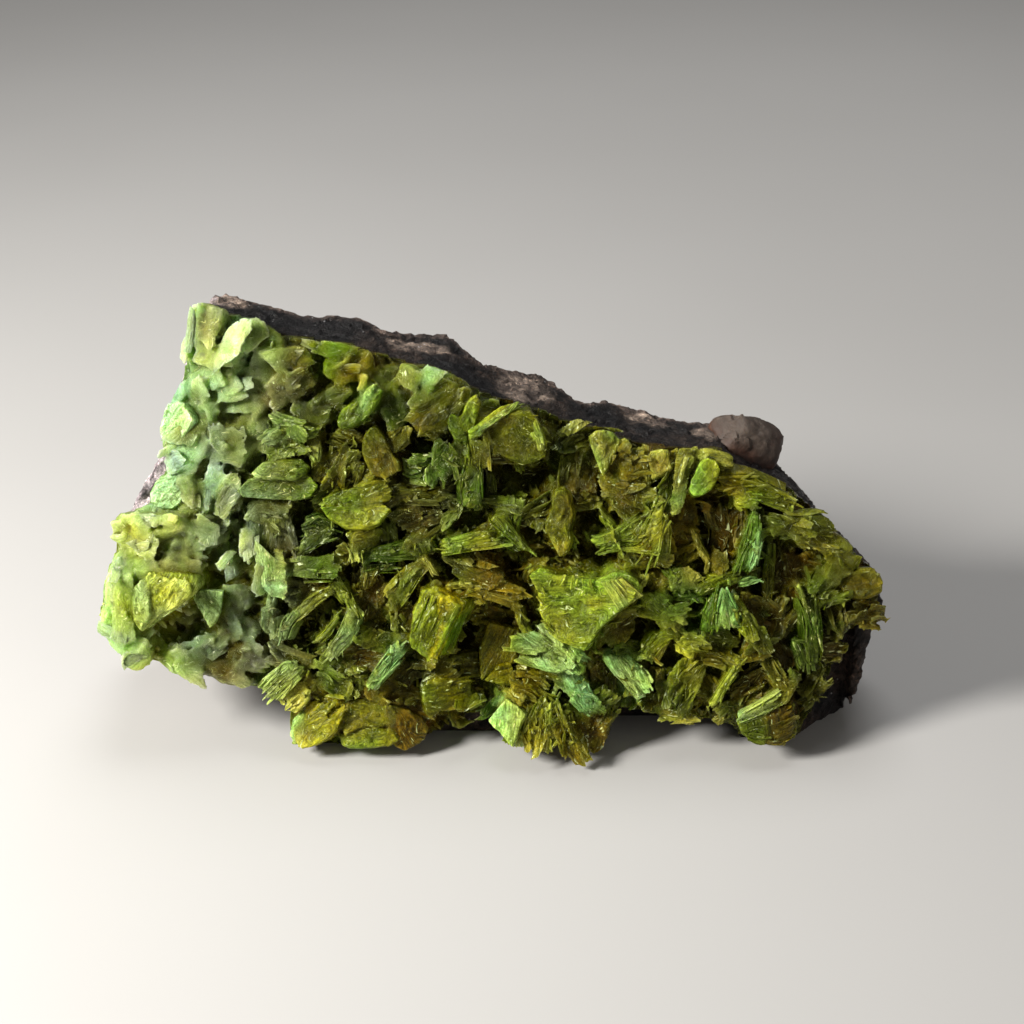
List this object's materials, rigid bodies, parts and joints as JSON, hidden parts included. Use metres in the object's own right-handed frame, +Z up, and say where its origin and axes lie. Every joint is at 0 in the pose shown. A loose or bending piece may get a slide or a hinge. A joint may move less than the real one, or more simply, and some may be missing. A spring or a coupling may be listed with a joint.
{
  "type": "autunite specimen",
  "caption": "Mineral specimen: a wedge of dark matrix rock standing on its lower edge, its front face crusted with yellow-green tabular autunite crystals.",
  "frame": {"origin": "centre of the specimen's bounding box, at the floor it stands on", "axes": "+Z up, +X along the length of the crystal face, -Y towards the viewer of the crystal face"},
  "size_m": [0.0428, 0.0182, 0.0235],
  "materials": {
    "matrix_rock": "rough dark broken rock with fine grains",
    "quartz_grain": "dull glassy brown grain",
    "autunite_crust": "pearly yellow-green crystal plates",
    "crystal_olive": "glassy, olive",
    "crystal_lime": "glassy to pearly, lime green",
    "crystal_green": "glassy, grass green",
    "crystal_grey": "dull olive grey",
    "crystal_mint": "pearly, pale mint green",
    "crystal_yellow": "glassy, yellow",
    "crystal_pale": "pearly, pale yellow-green",
    "crystal_teal": "glassy, blue-green"
  },
  "bodies": {
    "root": {"matrix_rock": "matrix_rock", "quartz_grain": "quartz_grain", "autunite_crust": "autunite_crust", "crown_book": "crystal_olive", "crown_spike": "crystal_lime", "triangular_book": "crystal_lime", "striped_book": "crystal_green", "square_plate": "crystal_grey", "small_square_plate": "crystal_olive", "corner_block": "crystal_mint", "left_white_plate": "crystal_mint", "green_triangle_plate": "crystal_green", "left_yellow_book": "crystal_yellow", "tall_centre_plate": "crystal_olive", "tall_olive_plate": "crystal_olive", "pale_edged_plate": "crystal_green", "crescent_plate": "crystal_lime", "lower_olive_plate": "crystal_olive", "back_olive_plate": "crystal_grey", "upper_right_flake": "crystal_pale", "hooked_flake": "crystal_pale", "lime_fan": "crystal_lime", "lower_right_bulb": "crystal_green", "yellow_tuft": "crystal_yellow", "right_end_plate": "crystal_olive", "long_green_book": "crystal_green", "teal_fan": "crystal_teal", "left_mint_plate": "crystal_mint", "curved_book": "crystal_lime"}
  },
  "joints": []
}
